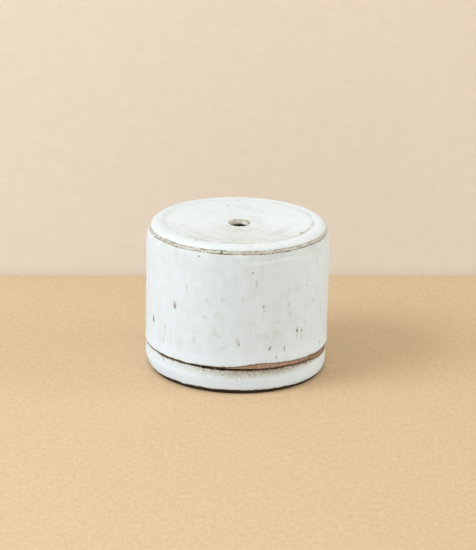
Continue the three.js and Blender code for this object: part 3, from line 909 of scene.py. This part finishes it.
# Spots on the shoulder, the arris and the top, and on the dish: degrees, radius and height, then the same
topSpots = [
    (-24.7, 39.4, 61.0, 0.5, 0.7, 0.8), (60.1, 31.6, 65.9, 1.0, 1.1, 0.75),
    (83.6, 32.4, 65.9, 1.3, 1.2, 0.36), (72.5, 32.2, 65.9, 1.4, 1.0, 0.3),
    (94.8, 9.4, 65.1, 0.7, 1.0, 0.42), (60.2, 20.5, 65.3, 0.7, 0.9, 0.3),
    (84.6, 25.3, 65.5, 0.7, 0.9, 0.2), (11.4, 31.6, 65.9, 0.6, 0.8, 0.5),
    (20.8, 32.4, 65.9, 0.6, 0.8, 0.5), (5.0, 24.4, 65.6, 0.6, 0.9, 0.32),
    (-30.7, 34.7, 66.3, 1.2, 1.1, 0.3), (146.4, 19.5, 65.3, 0.9, 1.2, 0.3),
    (135.9, 22.8, 65.4, 0.6, 1.0, 0.22), (-168.8, 24.6, 65.5, 0.8, 1.1, 0.34),
    (178, 23.2, 65.5, 4.6, 2.2, 0.12), (169, 22.0, 65.5, 2.4, 1.4, 0.16),
    (173, 25.4, 65.6, 3.0, 1.0, 0.1), (-179.6, 32.1, 66.0, 0.8, 1.0, 0.24),
    (-3.8, 13.2, 65.1, 0.7, 1.2, 0.18), (-74.5, 11.1, 65.1, 0.6, 1.0, 0.16),
    (160.0, 20.0, 65.3, 1.8, 1.6, 0.14), (-10.2, 38.5, 63.3, 0.8, 0.8, 1.0),
    (-3.8, 38.6, 63.3, 0.5, 0.5, 0.8), (41.4, 38.2, 63.1, 0.6, 0.6, 0.9),
    (27.8, 38.0, 63.5, 0.6, 0.5, 0.8), (-52.9, 39.0, 63.9, 2.2, 0.7, 0.5),
    (-45.3, 38.9, 64.4, 0.6, 0.5, 0.9),
]
dishSpots = [
    (-53.5, 39.6, 10.9, 0.4, 0.7, 0.95), (-52.3, 39.7, 10.3, 0.36, 0.7, 0.85),
    (-51.3, 39.7, 9.6, 0.34, 0.6, 0.7), (-20.4, 39.5, 10.0, 0.45, 0.5, 0.75),
    (-12.9, 39.6, 8.5, 0.35, 0.4, 0.4), (8.2, 39.5, 9.6, 0.5, 0.8, 0.35),
    (-45.5, 38.6, 1.9, 1.4, 0.6, 0.85), (51.0, 39.4, 9.5, 0.8, 0.8, 0.7),
]


def stoneware(name, spots, streaks):
    material, tree, skin, place = newMaterial(name)
    attribute = lambda mark: addNode(tree, "Attribute", attribute_name=mark).outputs["Fac"]
    frayed = times(tree, maths(tree, "SUBTRACT", noise(tree, place, 1.8, 2), 0.5), 0.45)
    edge = maths(tree, "ADD", attribute("glazeEdge"), frayed)

    wobble = addNode(tree, "TexNoise", {"Vector": place, "Scale": 1.1, "Detail": 3.0}).outputs["Color"]
    wobble = vectors(tree, "SUBTRACT", wobble, (0.5, 0.5, 0.5))
    spotPlace = vectors(tree, "ADD", place, vectors(tree, "MULTIPLY", wobble, (1.3, 1.3, 1.9)))
    fine, few, large = (useGroup(tree, pepper, Place=spotPlace, **kind)["Iron"] for kind in spatter.values())
    # the larger spots at the front are in the lists above, those behind fell anywhere
    behind = spread(tree, addNode(tree, "SeparateXYZ", {0: place}).outputs["Y"], 4, 20)
    iron = larger(tree, larger(tree, fine, few), times(tree, large, behind))
    for degrees, radius, height, width, tall, dark in spots:
        turn = math.radians(degrees)
        centre = (radius * math.sin(turn), -radius * math.cos(turn), height)
        iron = useGroup(tree, ironSpot, Place=spotPlace, Centre=centre, Size=(width, width, tall),
                        Iron=dark, Before=iron)["Iron"]

    glazed = useGroup(tree, glaze, Place=place, Edge=edge, Breaks=attribute("breaks"), Pool=attribute("poolAndHighlight"),
                      Thin=attribute("thin"), Mottled=attribute("mottled"), Spots=iron, Streaks=streaks)
    bare = useGroup(tree, clay, Place=place, Toast=attribute("toastAndShade"))
    covered = spread(tree, edge, -0.06, 0.1)
    tree.links.new(blend(tree, covered, bare["Color"], glazed["Color"]), skin.inputs["Base Color"])
    rough = finish["roughness"]
    gloss = spread(tree, glazed["Iron"], 0.1, 0.9, rough["white"], rough["iron"])
    gloss = blendValue(tree, attribute("wet"), gloss, rough["wet"])
    tree.links.new(blendValue(tree, covered, rough["clay"], gloss), skin.inputs["Roughness"])
    tree.links.new(attribute("wet"), skin.inputs["Coat Weight"])
    skin.inputs["Coat Roughness"].default_value = rough["coat"]
    relief = blendValue(tree, covered, bare["Height"], glazed["Height"])
    bumped = addNode(tree, "Bump", {"Strength": 0.8, "Distance": mm, "Height": relief})
    tree.links.new(bumped.outputs["Normal"], skin.inputs["Normal"])
    return material


coverSpots = [(degrees, cover["wall"] - 0.2, *rest) for degrees, *rest in wallSpots] + topSpots
coverStoneware.data.materials.append(stoneware("coverGlaze", coverSpots, streaks=0.65))
dishStoneware.data.materials.append(stoneware("dishGlaze", dishSpots, streaks=0.5))
print("glaze: mixed")


# Table, backdrop and light

stage = {
    "half": 1.6,  # metres
    "backdropFoot": 0.1228,  # behind the box's axis
    "backdropTurn": 3.63,  # degrees, its right end farther
    "tablePaper": {
        "shown": (220, 189, 149),
        "cast": (208, 208, 206),  # what it throws back at the box
        "grain": (0.5, 0.32, 0.5),
        "strength": 0.62,
        "crease": (0.03, 8),  # painted shade where the two sheets meet: how much darker, fading over millimetres
    },
    "backdropPaper": {
        "shown": (242, 221, 198),
        "cast": (214, 214, 213),
        "grain": (0.14, 0.14, 0.25),
        "strength": 0.17,
        "crease": (0.08, 6),
    },
}


def sheetPiece(name, corners):
    mesh = bpy.data.meshes.new(name)
    mesh.from_pydata(corners, [], [range(len(corners))])
    sheet = bpy.data.objects.new(name, mesh)
    bpy.context.scene.collection.objects.link(sheet)
    return sheet


# A sheet that only shows from its front, in its own colour to the camera and in a greyer one to the box.
# Towards the crease it darkens in painted shade; away is the direction off the crease, start its place there.
def sheetMaterial(name, away, start):
    paper = stage[name]
    material, tree, skin, place = newMaterial(name)
    skin.inputs["Roughness"].default_value = 0.9
    skin.inputs["Specular IOR Level"].default_value = 0.2
    fibre = maths(tree, "SUBTRACT", noise(tree, stretch(tree, place, *paper["grain"]), 1.0, 5, 0.85), 0.5)
    cloud = maths(tree, "SUBTRACT", noise(tree, place, 0.02, 2), 0.5)
    value = maths(tree, "ADD", times(tree, fibre, paper["strength"]), times(tree, cloud, 0.03))
    # painted shade along the crease
    dim, fade = paper["crease"]
    dark = spread(tree, vectors(tree, "DOT_PRODUCT", place, away), start, start + fade, dim, 0)
    light = maths(tree, "SUBTRACT", maths(tree, "ADD", 1.0, value), dark)
    grey = addNode(tree, "CombineColor", {0: light, 1: light, 2: light}).outputs[0]
    grained = blend(tree, 1.0, colour(*paper["shown"]), grey, "MULTIPLY")
    rays = addNode(tree, "LightPath").outputs
    seen = larger(tree, rays["Is Glossy Ray"], rays["Is Transmission Ray"])
    seen = larger(tree, rays["Is Camera Ray"], seen)
    tree.links.new(blend(tree, seen, colour(*paper["cast"]), grained), skin.inputs["Base Color"])
    back = addNode(tree, "NewGeometry").outputs["Backfacing"]
    clear = addNode(tree, "BsdfTransparent").outputs[0]
    side = addNode(tree, "MixShader", {0: back, 1: skin.outputs[0], 2: clear})
    tree.links.new(side.outputs[0], tree.nodes["Material Output"].inputs["Surface"])
    return material


def addStage():
    half, foot, angle = stage["half"], stage["backdropFoot"], math.radians(stage["backdropTurn"])
    table = sheetPiece("table", [(-half, -half, 0), (half, -half, 0), (half, half, 0), (-half, half, 0)])
    forward = (math.sin(angle), -math.cos(angle), 0)
    table.data.materials.append(sheetMaterial("tablePaper", forward, -math.cos(angle) * foot / mm))
    left, right = foot - math.tan(angle) * half, foot + math.tan(angle) * half
    corners = [(-half, left, 0), (half, right, 0), (half, right, half), (-half, left, half)]
    sheetPiece("backdrop", corners).data.materials.append(sheetMaterial("backdropPaper", (0, 0, 1), 0))


lights = {
    "world": 0.74,
    "worldTone": (255, 249, 240),
    "aim": (0, 0, 0.03),  # metres
    "distance": 1.2,
    "key": {"watts": 9.05, "size": 0.68, "turn": -65, "rise": 40.5, "tone": (227, 239, 255)},
    "side": {"watts": 4.3, "size": 0.8, "turn": 88, "rise": 22, "tone": (244, 252, 255)},
}


def addLamp(name, lamp):
    light = bpy.data.lights.new(name, "AREA")
    light.shape = "DISK"
    light.size = lamp["size"]
    light.energy = lamp["watts"]
    light.color = colour(*lamp["tone"])[:3]
    holder = bpy.data.objects.new(name, light)
    bpy.context.scene.collection.objects.link(holder)
    turn, rise = math.radians(lamp["turn"]), math.radians(lamp["rise"])
    away = Vector((math.sin(turn) * math.cos(rise), -math.cos(turn) * math.cos(rise), math.sin(rise)))
    place = Vector(lights["aim"]) + away * lights["distance"]
    holder.matrix_world = Matrix.Translation(place) @ (-away).to_track_quat("-Z", "Y").to_matrix().to_4x4()


def addLight():
    scene = bpy.context.scene
    scene.view_settings.view_transform = "Standard"
    scene.world = bpy.data.worlds.new("studio")
    scene.world.use_nodes = True
    sky = scene.world.node_tree.nodes["Background"]
    sky.inputs["Color"].default_value = colour(*lights["worldTone"])
    sky.inputs["Strength"].default_value = lights["world"]
    addLamp("keyLamp", lights["key"])
    addLamp("sideLamp", lights["side"])


addStage()
addLight()
print("stage: set")
